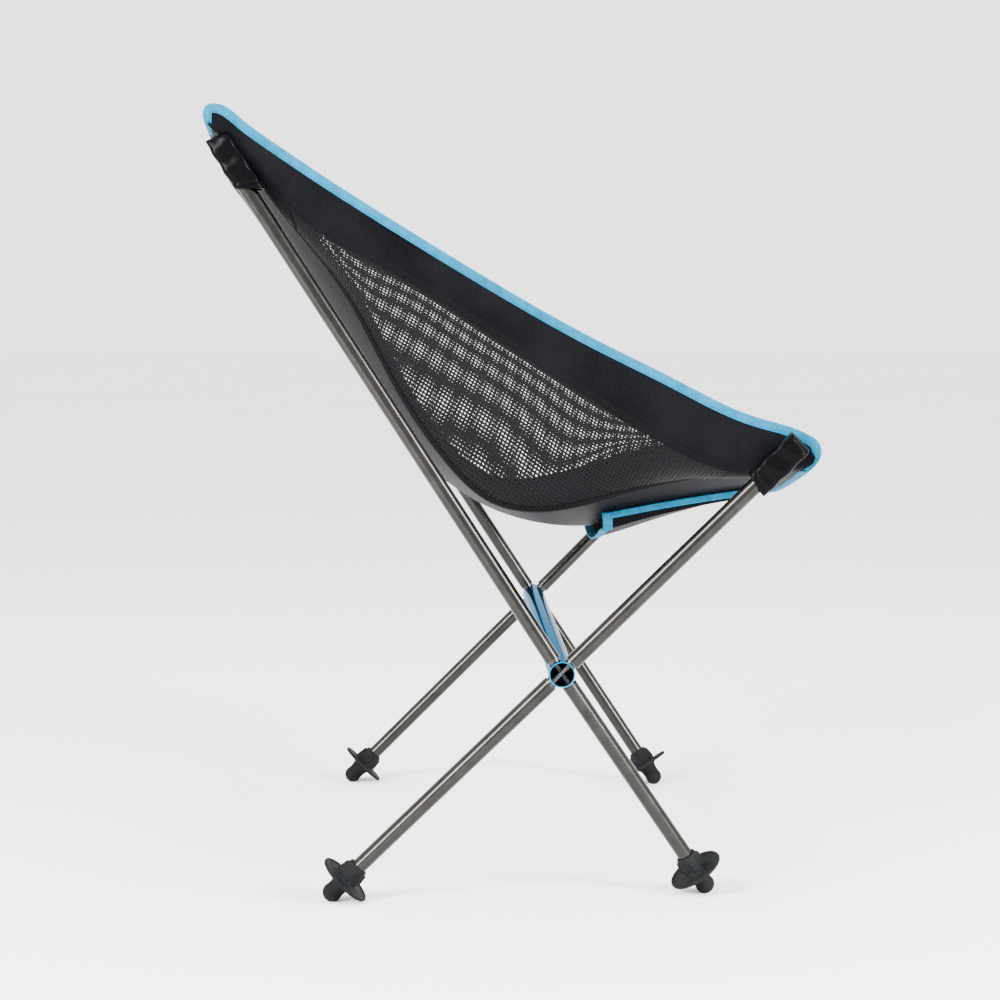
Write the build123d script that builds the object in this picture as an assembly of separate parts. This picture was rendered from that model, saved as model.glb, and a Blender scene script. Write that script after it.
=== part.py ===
from build123d import *
import math
import os

# Ultralight camp chair, millimetres. +X is the sitter's left, -Y is the front, +Z is up, and the
# floor is z = 0. Reaches are measured forward (negative) or back (positive) from the cross tube.

# where the frame's nodes lie
hubY = -38.5  # the cross tube's axis, so that the chair's outline is centred on the origin
hubHeight = 191.6
poleStation = 271.2  # from the middle plane out to where the poles cross
frontFootSpread, frontFootReach = 233.4, -122.4
rearFootSpread, rearFootReach = 254.0, 187.9
frontTipSpread, frontTipReach, frontTipHeight = 291.0, -186.6, 376.9
rearTipSpread, rearTipReach, rearTipHeight = 238.0, 277.5, 619.4

# cross tube, in two halves on an inner ferrule
tubeDiameter = 21.4
tubeWall = 1.0
tubeOverhang = 10.2  # open end past the poles' plane
tubeFerruleLength = 70.0
tubeFerruleWall = 1.2
slipFit = 0.1  # radial, between pieces that are pressed or glued together

# poles
poleDiameter = 13.0
poleWall = 1.0
poleButt = 13.2  # from the cross tube's axis to a pole's end
spigotFit = 0.2  # radial, between a spigot and the pole that slides over it
spigotLength = 30.0  # inside the pole
spigotWall = 0.8
collarThickness = 0.7
joinFromHub = 247.0  # where the rear upright's two sections meet
ferruleLength = 46.0
tipPlugLength = 16.0
tipDiameter = 13.6
tipDome = 5.0

# feet
ballRadius = 8.2
ballFlat = 0.45  # how much of the ball is worn flat where it meets the floor
neckDiameter = 15.0
discDiameter = 47.0
discThickness = 3.2
discAboveBall = 13.2  # along the leg, to the underside of the disc
bossDiameter = 20.0
bossHeight = 15.0
bossRibs = 8
bossRibDepth = 1.1
bossRibWidth = 2.6
legSocketDepth = 12.0

# shock cord
cordDiameter = 3.4
cordRoom = 0.8  # between a cord and the spigot's bore
cordEndGap = 4.0

# sling
clothThickness = 1.0
bindingThickness = 2.2
bindingWidth = 8.5
seamGap = 0.4
patchGap = 0.8  # wider beside the corner patches, where the cloth turns sharply
patchStart, meshStart, meshEnd, patchEnd = 0.075, 0.165, 0.875, 0.955  # shares of the side's length
hemReach = 0.96  # how far out the hem bindings run towards the corners, of the seam beside the panel
pocketLength = 44.0
pocketBore = poleDiameter + 1.6
pocketTall, pocketWide = pocketBore + 3.8, pocketBore + 2.8
pocketEnd = 3.0  # cloth past the end of the bore
pocketTipRoom = 1.2

# storage pouch under the seat
pouchHalfWidth = 150.0
pouchFront, pouchRear = 0.945, 0.737  # shares of the middle line
pouchDrop = 11.5  # how far the corners of its open rear edge hang under the seat
pouchBelly = 1.5  # how much further its middle sags
pouchSeam = 0.4
pouchBindingWidth = 7.0

hub = Vector(poleStation, hubY, hubHeight)


def framePoint(spread, reach, height):
    return Vector(spread, hubY + reach, height)


ballHeight = ballRadius - ballFlat
frontFoot = framePoint(frontFootSpread, frontFootReach, ballHeight)
rearFoot = framePoint(rearFootSpread, rearFootReach, ballHeight)
frontTip = framePoint(frontTipSpread, frontTipReach, frontTipHeight)
rearTip = framePoint(rearTipSpread, rearTipReach, rearTipHeight)
poleBore = poleDiameter - 2 * poleWall
spigotDiameter = poleBore - 2 * spigotFit
spigotBore = spigotDiameter - 2 * spigotWall
cordOffset = (spigotBore - cordDiameter) / 2 - cordRoom  # the two cords pass each other either side of the poles


def along(start, end, distance):
    return start + (end - start).normalized() * distance


def axisPlane(start, end):
    axis = (end - start).normalized()
    across = Vector(1, 0, 0) if abs(axis.X) < 0.9 else Vector(0, 1, 0)
    return Plane(origin=start, x_dir=across, z_dir=axis)


def rod(start, end, diameter):
    frame = axisPlane(start, end)
    return frame * Pos(0, 0, (end - start).length / 2) * Cylinder(diameter / 2, (end - start).length)


def pipe(start, end, outer, inner):
    return rod(start, end, outer) - rod(start, end, inner)


def onBothSides(name, shape, nodes):
    nodes[name + "_left"] = shape
    nodes[name + "_right"] = mirror(shape, about=Plane.YZ)


# cross tube


def poleEnds():
    return {"front_leg": frontFoot, "rear_leg": rearFoot, "front_upright": frontTip, "rear_upright": rearTip}


def crossTubeHalf():
    end = Vector(poleStation + tubeOverhang, hubY, hubHeight)
    start = Vector(seamGap / 2, hubY, hubHeight)
    half = pipe(start, end, tubeDiameter, tubeDiameter - 2 * tubeWall)
    for target in poleEnds().values():
        half -= rod(hub, along(hub, target, tubeDiameter), spigotDiameter + 2 * slipFit)
    return half


def crossTubeFerrule():
    outer = tubeDiameter - 2 * tubeWall - 2 * slipFit
    left = Vector(tubeFerruleLength / 2, hubY, hubHeight)
    right = Vector(-tubeFerruleLength / 2, hubY, hubHeight)
    return pipe(right, left, outer, outer - 2 * tubeFerruleWall)


def spigot(target):
    root = along(hub, target, tubeDiameter / 2 - tubeWall)
    butt = along(hub, target, poleButt)
    sleeve = rod(root, along(hub, target, poleButt + spigotLength), spigotDiameter)
    collar = rod(along(hub, target, poleButt - collarThickness), butt, poleDiameter)
    return sleeve + collar - rod(hub, along(hub, target, 2 * spigotLength), spigotBore)


def shockCord(lower, upper, shift):
    # it runs straight inside the poles, from the foot's socket to the top plug, and bends in the cross tube
    offset = Vector(shift, 0, 0)
    start = along(lower, hub, legSocketDepth + discAboveBall + cordEndGap) + offset
    end = along(upper, hub, tipPlugLength + cordEndGap) + offset
    turn = math.radians((hub - lower).get_angle(upper - hub))
    radius = tubeDiameter / 2 / math.tan(turn / 2)
    path = FilletPolyline(start, hub + offset, end, radius=radius)
    section = axisPlane(start, hub + offset) * Circle(cordDiameter / 2)
    return sweep(section, path)


def hubNodes(nodes):
    onBothSides("cross_tube", crossTubeHalf(), nodes)
    nodes["cross_tube_ferrule"] = crossTubeFerrule()
    for name, target in poleEnds().items():
        onBothSides(name + "_spigot", spigot(target), nodes)
    onBothSides("shock_cord_outer", shockCord(rearFoot, frontTip, cordOffset), nodes)
    onBothSides("shock_cord_inner", shockCord(frontFoot, rearTip, -cordOffset), nodes)


# legs and feet


def leg(foot):
    socket = along(foot, hub, discAboveBall + discThickness)
    return pipe(socket, along(hub, foot, poleButt), poleDiameter, poleBore)


def footBoot(foot):
    # a moulded disc with a ribbed boss above it, and the leg's end seated in the boss
    under = along(foot, hub, discAboveBall)
    frame = axisPlane(under, hub)
    disc = Pos(0, 0, discThickness / 2) * Cylinder(discDiameter / 2, discThickness)
    disc = frame * fillet(disc.edges().filter_by(GeomType.CIRCLE), discThickness * 0.3)
    boss = frame * Pos(0, 0, discThickness) * Cone(
        bossDiameter / 2, bossDiameter / 2 - 1.5, bossHeight, align=(Align.CENTER, Align.CENTER, Align.MIN)
    )
    ribRadius = bossDiameter / 2 - 1.5
    for location in PolarLocations(ribRadius, bossRibs):
        boss += frame * Pos(0, 0, discThickness) * location * Box(
            2 * bossRibDepth + 3, bossRibWidth, bossHeight * 0.8, align=(Align.CENTER, Align.CENTER, Align.MIN)
        )
    socket = along(under, hub, discThickness)
    return disc + boss - rod(socket, along(under, hub, bossHeight * 3), poleDiameter)


def footBall(foot):
    # ball tip on a neck that fills the space under the disc, flat where it meets the floor
    neck = rod(foot, along(foot, hub, discAboveBall), neckDiameter)
    ball = Pos(*foot) * Sphere(ballRadius)
    floor = Pos(foot.X, foot.Y, -ballRadius) * Box(4 * ballRadius, 4 * ballRadius, 2 * ballRadius)
    return ball + neck - floor


def legNodes(nodes):
    for name, foot in (("front", frontFoot), ("rear", rearFoot)):
        onBothSides(name + "_leg", leg(foot), nodes)
        onBothSides(name + "_foot_disc", footBoot(foot), nodes)
        onBothSides(name + "_foot_ball", footBall(foot), nodes)


# uprights


def tipPlug(tip):
    # a domed plug whose stem fills the pole's bore
    dome = Cylinder(tipDiameter / 2, tipDome, align=(Align.CENTER, Align.CENTER, Align.MIN))
    dome = fillet(dome.edges().group_by(Axis.Z)[-1], tipDome * 0.6)
    placed = axisPlane(hub, tip)
    placed.origin = tip
    return placed * dome + rod(along(tip, hub, tipPlugLength), tip, poleBore - 2 * slipFit)


def uprightNodes(nodes):
    join = along(hub, rearTip, joinFromHub)
    frontEnd, rearEnd = along(hub, frontTip, poleButt), along(hub, rearTip, poleButt)
    onBothSides("front_upright", pipe(frontEnd, frontTip, poleDiameter, poleBore), nodes)
    onBothSides("rear_upright_lower", pipe(rearEnd, join, poleDiameter, poleBore), nodes)
    upperStart = along(join, rearTip, seamGap)
    onBothSides("rear_upright_upper", pipe(upperStart, rearTip, poleDiameter, poleBore), nodes)
    low, high = along(join, hub, ferruleLength / 2), along(join, rearTip, ferruleLength / 2)
    onBothSides("rear_upright_ferrule", pipe(low, high, spigotDiameter, spigotBore), nodes)
    onBothSides("front_tip_plug", tipPlug(frontTip), nodes)
    onBothSides("rear_tip_plug", tipPlug(rearTip), nodes)


# sling
# Four lines run from the top hem to the front hem: the middle of the seat and back, the seam beside
# the middle panel, the seam under the side strip, and the side's bound edge. The cloth lies across
# them, so a place on it is a share along the lines and a number across: 0 middle, 1, 2, 3 edge.

middleLine = [(0, 283, 597), (0, 249, 549), (0, 211, 494), (0, 168, 423), (0, 116, 352), (0, 44, 305),
              (0, -41, 291), (0, -85, 299), (0, -130, 309), (0, -203, 321)]
panelSeam = [(236, 284, 648), (231, 256, 606), (219, 226, 565), (190, 182, 508), (165, 133, 417),
             (164, 93, 359), (170, 53, 324), (185, -8, 320), (198, -70, 337), (220, -135, 352), (270, -200, 359)]
stripSeam = [(237, 285, 649), (234, 253, 607), (231, 214, 567), (229, 135, 519), (230, 54, 468), (236, -18, 422),
             (247, -80, 383), (260, -134, 357), (274, -203, 362)]
boundEdge = [(240, 287, 650), (240, 214, 609), (243, 138, 560), (247, 58, 511), (253, -29, 462), (262, -93, 430),
             (273, -169, 396), (281, -213, 372)]


def slingLine(points):
    return Edge.make_spline([Vector(x, hubY + y, z) for x, y, z in points])


slingLines = [slingLine(points) for points in (middleLine, panelSeam, stripSeam, boundEdge)]
lineShape = 2.2  # how flat the middle panel hangs before it rises to its seams


def slingPoint(share, across):
    middle, panel, strip, edge = [line @ share for line in slingLines]
    if across < 1:
        rise = (panel - middle) * across**lineShape
        return Vector(panel.X * across, middle.Y + rise.Y, middle.Z + rise.Z)
    # one smooth curve through the three lines beside the panel
    first = (across - 2) * (across - 3) / 2
    last = (across - 1) * (across - 2) / 2
    return panel * first - strip * ((across - 1) * (across - 3)) + edge * last


def mirrored(point):
    return Vector(-point.X, point.Y, point.Z)


def spread(low, high, count):
    return [low + (high - low) * i / (count - 1) for i in range(count)]


def sheetNormal(rows, i, j):
    last, end = len(rows) - 1, len(rows[0]) - 1
    lengthways = rows[min(i + 1, last)][j] - rows[max(i - 1, 0)][j]
    crossways = rows[i][min(j + 1, end)] - rows[i][max(j - 1, 0)]
    return crossways.cross(lengthways).normalized()


def sheetBetween(rows, thickness):
    # a closed sheet of cloth through rows of points, half its thickness either side of them
    lowered = [
        [point - sheetNormal(rows, i, j) * (thickness / 2) for j, point in enumerate(row)]
        for i, row in enumerate(rows)
    ]
    face = Face.make_surface_from_array_of_points(lowered)
    middle = sheetNormal(rows, len(rows) // 2, len(rows[0]) // 2)
    return Solid.thicken(face, thickness, normal_override=middle)


def acrossBand(share, band, width):
    # how much of a band's number a width of cloth takes at this share
    return width / (slingPoint(share, band + 0.9999) - slingPoint(share, band)).length


def insideEdge(share, width):
    # the number across that lies a width of cloth inside the bound edge, found by halving
    edge, low, high = slingPoint(share, 2.9999), 0.0, 2.9999
    for _ in range(20):
        middle = (low + high) / 2
        if (slingPoint(share, middle) - edge).length < width:
            high = middle
        else:
            low = middle
    return low


def sidePanel(fromShare, toShare, lowBand, highBand, lowGap=seamGap / 2):
    rows = []
    for share in spread(fromShare + seamShare, toShare - seamShare, 15):
        low = lowBand + acrossBand(share, lowBand, lowGap)
        high = highBand - acrossBand(share, highBand - 1, seamGap / 2)
        if highBand == 3:
            high = insideEdge(share, bindingWidth + seamGap)
        rows.append([slingPoint(share, across) for across in spread(low, high, 9)])
    return sheetBetween(rows, clothThickness)


def shareFor(length, line):
    return length / slingLines[line].length


seamShare = shareFor(seamGap / 2, 1)


def bothWays(half):
    return [mirrored(point) for point in reversed(half[1:])] + half


def middlePanel():
    hem = shareFor(bindingWidth + seamGap, 0)
    rows = []
    for share in spread(hem, 1 - hem, 31):
        limit = min(1 - acrossBand(share, 0, seamGap / 2), insideEdge(share, bindingWidth + 2 * seamGap))
        rows.append(bothWays([slingPoint(share, across) for across in spread(0, limit, 11)]))
    return sheetBetween(rows, clothThickness)


def hemBinding(atTop):
    width = shareFor(bindingWidth, 0)
    rows = []
    for share in spread(*((0.0, width) if atTop else (1 - width, 1.0)), 3):
        limit = min(hemReach, insideEdge(share, bindingWidth + 2 * seamGap))
        rows.append(bothWays([slingPoint(share, across) for across in spread(0, limit, 11)]))
    return sheetBetween(rows, bindingThickness)


def edgeBinding():
    rows = []
    for share in spread(0.0, 1.0, 25):
        edge = slingPoint(share, 2.9999)
        inner = slingPoint(share, insideEdge(share, bindingWidth))
        rows.append([inner + (edge - inner) * part for part in (0, 0.5, 1)])
    return sheetBetween(rows, bindingThickness)


def pouchPoint(backward, sideways):
    # backward runs from the pouch's front seam, 0, to its open rear edge, 1; sideways from -1 to 1
    share = pouchFront + (pouchRear - pouchFront) * backward
    across = abs(sideways) * pouchHalfWidth / slingPoint(share, 0.9999).X
    above = slingPoint(share, across)
    drop = clothThickness + pouchSeam + pouchDrop * backward**2 + pouchBelly * backward * (1 - sideways**2)
    return Vector(math.copysign(above.X, sideways), above.Y, above.Z - drop)


def pouchSheet(fromBack, toBack, fromSide, toSide, thickness):
    rows = [[pouchPoint(u, v) for v in spread(fromSide, toSide, 13)] for u in spread(fromBack, toBack, 9)]
    return sheetBetween(rows, thickness)


def pouchNodes(nodes):
    depth = (pouchFront - pouchRear) * slingLines[0].length
    hemBack, hemSide = pouchBindingWidth / depth, pouchBindingWidth / pouchHalfWidth
    gapBack, gapSide = seamGap / depth, seamGap / pouchHalfWidth
    edge = 1 - hemSide
    nodes["storage_pouch"] = pouchSheet(0, 1 - hemBack - gapBack, -edge + gapSide, edge - gapSide, clothThickness)
    nodes["pouch_rear_binding"] = pouchSheet(1 - hemBack, 1, -1, 1, bindingThickness)
    side = pouchSheet(0, 1 - hemBack - gapBack, edge, 1, clothThickness)
    onBothSides("pouch_side_binding", side, nodes)


def polePocket(tip):
    # a flattened sleeve closed over the pole's tip, sewn to the cloth beside it
    mouth = along(tip, hub, pocketLength - tipDome - pocketTipRoom - pocketEnd)
    frame = axisPlane(mouth, tip)
    body = Box(pocketWide, pocketTall, pocketLength, align=(Align.CENTER, Align.CENTER, Align.MIN))
    body = fillet(body.edges().filter_by(Axis.Z), pocketWide * 0.3)
    return frame * body - frame * Cylinder(
        pocketBore / 2, pocketLength - pocketEnd, align=(Align.CENTER, Align.CENTER, Align.MIN)
    )


def slingNodes(nodes):
    nodes["middle_panel"] = middlePanel()
    onBothSides("mesh_panel", sidePanel(meshStart, meshEnd, 1, 2), nodes)
    onBothSides("side_strip", sidePanel(meshStart, meshEnd, 2, 3), nodes)
    onBothSides("rear_corner_patch", sidePanel(patchStart, meshStart, 1, 3, patchGap), nodes)
    onBothSides("front_corner_patch", sidePanel(meshEnd, patchEnd, 1, 3, patchGap), nodes)
    nodes["top_hem_binding"] = hemBinding(True)
    nodes["front_hem_binding"] = hemBinding(False)
    onBothSides("side_binding", edgeBinding(), nodes)
    onBothSides("front_pole_pocket", polePocket(frontTip), nodes)
    onBothSides("rear_pole_pocket", polePocket(rearTip), nodes)
    pouchNodes(nodes)


def main():
    nodes = {}
    hubNodes(nodes)
    legNodes(nodes)
    uprightNodes(nodes)
    slingNodes(nodes)
    os.makedirs("parts", exist_ok=True)
    for name, shape in nodes.items():
        export_step(shape, f"parts/{name}.step")
    print(len(nodes), "nodes written")


main()
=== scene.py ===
import math
import bpy
import numpy as np
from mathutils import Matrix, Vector


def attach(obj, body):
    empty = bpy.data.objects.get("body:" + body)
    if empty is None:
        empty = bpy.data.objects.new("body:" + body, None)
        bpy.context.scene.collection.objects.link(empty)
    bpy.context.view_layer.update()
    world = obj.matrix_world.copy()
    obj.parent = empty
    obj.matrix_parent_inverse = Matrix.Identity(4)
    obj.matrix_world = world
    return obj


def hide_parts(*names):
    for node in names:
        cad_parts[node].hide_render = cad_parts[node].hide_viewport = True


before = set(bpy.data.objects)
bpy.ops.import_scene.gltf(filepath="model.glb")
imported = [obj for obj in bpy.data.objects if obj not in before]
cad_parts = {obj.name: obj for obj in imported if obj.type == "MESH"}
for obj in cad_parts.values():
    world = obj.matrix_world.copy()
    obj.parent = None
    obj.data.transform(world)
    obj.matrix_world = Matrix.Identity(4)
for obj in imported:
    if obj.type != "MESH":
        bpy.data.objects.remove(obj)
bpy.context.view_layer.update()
mm = 0.001
print("frame loaded")


# materials
def linear(hexColour):
    # sRGB hex to linear light, as the shader sockets expect
    parts = [int(hexColour[i:i + 2], 16) / 255 for i in (1, 3, 5)]
    return [p / 12.92 if p <= 0.04045 else ((p + 0.055) / 1.055) ** 2.4 for p in parts] + [1.0]


def addNode(tree, kind, settings=None, links=None):
    # settings are node properties, or socket values where the key is a socket's name or number
    node = tree.nodes.new(kind)
    for key, value in (settings or {}).items():
        if isinstance(key, str) and hasattr(node, key) and key not in node.inputs:
            setattr(node, key, value)
        else:
            node.inputs[key].default_value = value
    for key, source in (links or {}).items():
        tree.links.new(source, node.inputs[key])
    return node


def newMaterial(name, shader):
    material = bpy.data.materials.new(name)
    material.use_nodes = True
    tree = material.node_tree
    tree.nodes.clear()
    surface = addNode(tree, "ShaderNodeBsdfPrincipled", shader)
    addNode(tree, "ShaderNodeOutputMaterial", links={"Surface": surface.outputs[0]})
    return material, tree, surface


def ramp(tree, source, stops):
    node = addNode(tree, "ShaderNodeValToRGB", links={0: source})
    elements = node.color_ramp.elements
    while len(elements) < len(stops):
        elements.new(0.5)
    for element, (place, colour) in zip(elements, stops):
        element.position = place
        element.color = linear(colour) if isinstance(colour, str) else (colour, colour, colour, 1)
    return node.outputs[0]


def objectCoords(tree, scale=(1, 1, 1)):
    place = addNode(tree, "ShaderNodeTexCoord").outputs["Object"]
    return addNode(tree, "ShaderNodeMapping", {"Scale": scale}, {"Vector": place}).outputs[0]


def clothCoords(tree, scale=(1, 1, 1)):
    # the cloth pieces' own UV map is in metres along and across the cut
    place = addNode(tree, "ShaderNodeUVMap", {"uv_map": "cloth"}).outputs[0]
    return addNode(tree, "ShaderNodeMapping", {"Scale": scale}, {"Vector": place}).outputs[0]


poleLook = dict(grainMm=0.5, light="#353432", dark="#292826", roughLow=0.17, roughHigh=0.25)


def anodisedPole():
    # satin grey anodised 7000-series tube: dark, with one clean streak of light and faint scuffs
    material, tree, surface = newMaterial("greyAnodisedAluminium", {"Metallic": 1.0})
    coords = objectCoords(tree)
    scuffs = addNode(tree, "ShaderNodeTexNoise", {"Scale": 60.0, "Detail": 6.0, "Roughness": 0.65},
                     {"Vector": coords})
    grain = addNode(tree, "ShaderNodeTexNoise", {"Scale": 1 / (poleLook["grainMm"] * mm), "Detail": 2.0},
                    {"Vector": coords})
    colour = ramp(tree, scuffs.outputs[0], [(0.3, poleLook["dark"]), (0.75, poleLook["light"])])
    rough = addNode(tree, "ShaderNodeMapRange",
                    {"To Min": poleLook["roughLow"], "To Max": poleLook["roughHigh"]},
                    {"Value": scuffs.outputs[0]})
    bump = addNode(tree, "ShaderNodeBump", {"Strength": 0.04, "Distance": 0.0002},
                   {"Height": grain.outputs[0]})
    tree.links.new(colour, surface.inputs["Base Color"])
    tree.links.new(rough.outputs[0], surface.inputs["Roughness"])
    tree.links.new(bump.outputs[0], surface.inputs["Normal"])
    return material


tubeLook = dict(light="#0a7090", dark="#085a78", edge="#1c80a8", roughLow=0.12, roughHigh=0.2)


def anodisedTube():
    # bright-dipped blue anodised tube: mirror-like, with very fine drawing marks along it
    settings = {"Metallic": 1.0, "Specular Tint": linear(tubeLook["edge"])}
    material, tree, surface = newMaterial("blueAnodisedAluminium", settings)
    coords = objectCoords(tree, (40, 900, 900))
    marks = addNode(tree, "ShaderNodeTexNoise", {"Scale": 1.0, "Detail": 4.0}, {"Vector": coords})
    colour = ramp(tree, marks.outputs[0], [(0.2, tubeLook["dark"]), (0.8, tubeLook["light"])])
    rough = addNode(tree, "ShaderNodeMapRange",
                    {"To Min": tubeLook["roughLow"], "To Max": tubeLook["roughHigh"]},
                    {"Value": marks.outputs[0]})
    tree.links.new(colour, surface.inputs["Base Color"])
    tree.links.new(rough.outputs[0], surface.inputs["Roughness"])
    return material


def bareSpigot():
    # turned aluminium, lightly machined
    material, tree, surface = newMaterial("turnedAluminium", {"Metallic": 1.0, "Roughness": 0.3})
    marks = addNode(tree, "ShaderNodeTexNoise", {"Scale": 700.0, "Detail": 3.0},
                    {"Vector": objectCoords(tree)})
    colour = ramp(tree, marks.outputs[0], [(0.3, "#333436"), (0.7, "#444547")])
    tree.links.new(colour, surface.inputs["Base Color"])
    return material


def mouldedRubber():
    # moulded thermoplastic rubber: matt charcoal, slightly pebbled, paler where it rubs
    material, tree, surface = newMaterial("mouldedRubber", {"Specular IOR Level": 0.03})
    coords = objectCoords(tree)
    pebble = addNode(tree, "ShaderNodeTexVoronoi", {"Scale": 900.0}, {"Vector": coords})
    cloud = addNode(tree, "ShaderNodeTexNoise", {"Scale": 45.0, "Detail": 5.0}, {"Vector": coords})
    colour = ramp(tree, cloud.outputs[0], [(0.35, "#0e0f10"), (0.75, "#18191a")])
    rough = addNode(tree, "ShaderNodeMapRange", {"To Min": 0.5, "To Max": 0.68}, {"Value": cloud.outputs[0]})
    bump = addNode(tree, "ShaderNodeBump", {"Strength": 0.25, "Distance": 0.0003},
                   {"Height": pebble.outputs["Distance"]})
    tree.links.new(colour, surface.inputs["Base Color"])
    tree.links.new(rough.outputs[0], surface.inputs["Roughness"])
    tree.links.new(bump.outputs[0], surface.inputs["Normal"])
    return material


def wovenCloth(name, look):
    # plain-woven polyester: two sets of threads over and under, a coarser reinforcing grid,
    # a soft sheen, and broad uneven tone where the cloth has been handled
    settings = {"Sheen Weight": look["sheen"], "Sheen Roughness": 0.45, "Specular IOR Level": look["gloss"]}
    material, tree, surface = newMaterial(name, settings)
    coords = clothCoords(tree, (1, 1, 1))
    count = 2 * math.pi / (look["threadMm"] * mm)
    split = addNode(tree, "ShaderNodeSeparateXYZ", links={0: coords})
    waves = []
    for axis in (0, 1):
        turn = addNode(tree, "ShaderNodeMath", {"operation": "MULTIPLY", 1: count / 2},
                       {0: split.outputs[axis]})
        waves.append(addNode(tree, "ShaderNodeMath", {"operation": "SINE"}, {0: turn.outputs[0]}).outputs[0])
    weave = addNode(tree, "ShaderNodeMath", {"operation": "MULTIPLY"}, {0: waves[0], 1: waves[1]}).outputs[0]
    lines = []
    for axis in (0, 1):
        cell = addNode(tree, "ShaderNodeMath", {"operation": "PINGPONG", 1: look["gridMm"] * mm / 2},
                       {0: split.outputs[axis]})
        lines.append(addNode(tree, "ShaderNodeMath", {"operation": "LESS_THAN", 1: 0.35 * mm},
                             {0: cell.outputs[0]}))
    grid = addNode(tree, "ShaderNodeMath", {"operation": "MAXIMUM"},
                   {0: lines[0].outputs[0], 1: lines[1].outputs[0]})
    height = addNode(tree, "ShaderNodeMath", {"operation": "MULTIPLY_ADD", 1: 0.6},
                     {0: grid.outputs[0], 2: weave})
    cloud = addNode(tree, "ShaderNodeTexNoise", {"Scale": 14.0, "Detail": 4.0},
                    {"Vector": objectCoords(tree)})
    tone = addNode(tree, "ShaderNodeMath", {"operation": "MULTIPLY_ADD", 1: 0.16},
                   {0: height.outputs[0], 2: cloud.outputs[0]})
    colour = ramp(tree, tone.outputs[0], [(0.3, look["dark"]), (0.75, look["light"])])
    bump = addNode(tree, "ShaderNodeBump", {"Strength": look["bump"], "Distance": 0.0002},
                   {"Height": height.outputs[0]})
    rough = addNode(tree, "ShaderNodeMapRange",
                    {"To Min": look["rough"] - 0.06, "To Max": look["rough"] + 0.06},
                    {"Value": cloud.outputs[0]})
    tree.links.new(colour, surface.inputs["Base Color"])
    tree.links.new(rough.outputs[0], surface.inputs["Roughness"])
    tree.links.new(bump.outputs[0], surface.inputs["Normal"])
    return material


# the thread is drawn three times too coarse, because a 0.3 mm one is too fine to show
panelLook = dict(threadMm=1.0, gridMm=5.0, dark="#040405", light="#0e0e11", sheen=0.0, gloss=0.015,
                 rough=0.45, bump=0.5)
pocketLook = dict(threadMm=1.4, gridMm=2.8, dark="#060607", light="#0c0c0e", sheen=0.0, gloss=0.02,
                  rough=0.45, bump=0.4)
sleeveClothLook = dict(threadMm=0.9, gridMm=4.0, dark="#020203", light="#050506", sheen=0.0, gloss=0.03,
                       rough=0.24, bump=0.1)


def ribbedTape(name, dark, light):
    # grosgrain binding: ribs across the tape, dyed in the piece, a little sheen, fuzz at the edge
    settings = {"Sheen Weight": 0.01, "Sheen Roughness": 0.4, "Specular IOR Level": 0.05, "Roughness": 0.6}
    material, tree, surface = newMaterial(name, settings)
    coords = clothCoords(tree)
    split = addNode(tree, "ShaderNodeSeparateXYZ", links={0: coords})
    turn = addNode(tree, "ShaderNodeMath", {"operation": "MULTIPLY", 1: 2 * math.pi / (1.2 * mm)},
                   {0: split.outputs[0]})
    ribs = addNode(tree, "ShaderNodeMath", {"operation": "SINE"}, {0: turn.outputs[0]})
    cloud = addNode(tree, "ShaderNodeTexNoise", {"Scale": 120.0, "Detail": 4.0},
                    {"Vector": objectCoords(tree)})
    tone = addNode(tree, "ShaderNodeMath", {"operation": "MULTIPLY_ADD", 1: 0.1},
                   {0: ribs.outputs[0], 2: cloud.outputs[0]})
    colour = ramp(tree, tone.outputs[0], [(0.25, dark), (0.8, light)])
    bump = addNode(tree, "ShaderNodeBump", {"Strength": 0.35, "Distance": 0.0002},
                   {"Height": ribs.outputs[0]})
    tree.links.new(colour, surface.inputs["Base Color"])
    tree.links.new(bump.outputs[0], surface.inputs["Normal"])
    return material


def netThread():
    # knitted polyester netting: black yarn with a dull glint
    material, tree, surface = newMaterial("knittedNet", {"Sheen Weight": 0.0, "Specular IOR Level": 0.05})
    cloud = addNode(tree, "ShaderNodeTexNoise", {"Scale": 500.0, "Detail": 3.0},
                    {"Vector": objectCoords(tree)})
    colour = ramp(tree, cloud.outputs[0], [(0.3, "#070708"), (0.8, "#0f1012")])
    rough = addNode(tree, "ShaderNodeMapRange", {"To Min": 0.45, "To Max": 0.6}, {"Value": cloud.outputs[0]})
    tree.links.new(colour, surface.inputs["Base Color"])
    tree.links.new(rough.outputs[0], surface.inputs["Roughness"])
    return material


def sewingThread(name, colourHex):
    # bonded polyester thread with a slight gloss
    material, tree, surface = newMaterial(name, {"Roughness": 0.5, "Specular IOR Level": 0.05})
    cloud = addNode(tree, "ShaderNodeTexNoise", {"Scale": 900.0}, {"Vector": objectCoords(tree)})
    colour = ramp(tree, cloud.outputs[0], [(0.2, colourHex), (0.9, colourHex)])
    tree.links.new(colour, surface.inputs["Base Color"])
    return material


def braidedCord():
    # braided sheath of a shock cord: grey with a diagonal braid
    material, tree, surface = newMaterial("braidedSheath", {"Roughness": 0.6, "Sheen Weight": 0.2})
    settings = {"wave_type": "BANDS", "bands_direction": "DIAGONAL", "Scale": 250.0, "Distortion": 1.0}
    wave = addNode(tree, "ShaderNodeTexWave", settings, {"Vector": objectCoords(tree)})
    colour = ramp(tree, wave.outputs[1], [(0.2, "#222324"), (0.8, "#3c3e3f")])
    bump = addNode(tree, "ShaderNodeBump", {"Strength": 0.4, "Distance": 0.0003}, {"Height": wave.outputs[1]})
    tree.links.new(colour, surface.inputs["Base Color"])
    tree.links.new(bump.outputs[0], surface.inputs["Normal"])
    return material


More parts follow.
